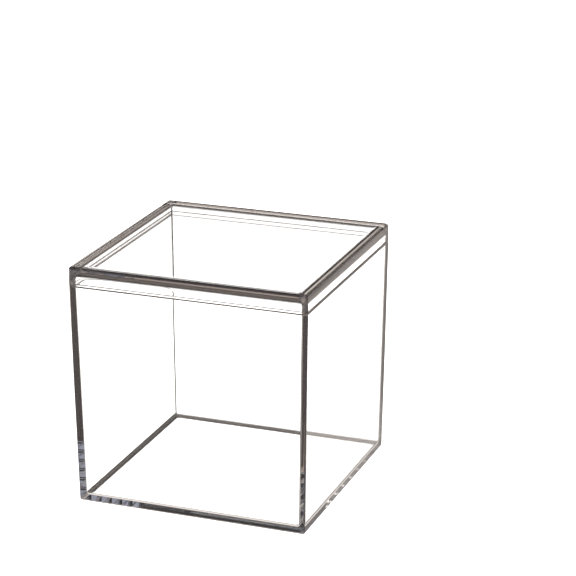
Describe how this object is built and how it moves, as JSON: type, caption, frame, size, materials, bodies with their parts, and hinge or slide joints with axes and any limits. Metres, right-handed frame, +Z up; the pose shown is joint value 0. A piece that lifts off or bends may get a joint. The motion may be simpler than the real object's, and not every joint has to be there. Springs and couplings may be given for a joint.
{
  "type": "display cube",
  "caption": "Clear moulded acrylic display cube: a thin-walled five-sided box body with a flush lift-off lid.",
  "frame": {"origin": "centre of the base, on the surface the cube stands on", "axes": "+Z up, through the middle of the lid; +X and +Y along the sides"},
  "size_m": [0.1, 0.1, 0.1],
  "materials": {
    "clear_acrylic_body": "clear polished",
    "clear_acrylic_lid": "clear polished"
  },
  "bodies": {
    "body": {"box_body": "clear_acrylic_body"},
    "lid": {"lid": "clear_acrylic_lid"}
  },
  "joints": [
    {"name": "lid_lift", "type": "slide", "parent": "body", "child": "lid", "axis": [0, 0, 1], "range_m": [0, 0.12]}
  ]
}
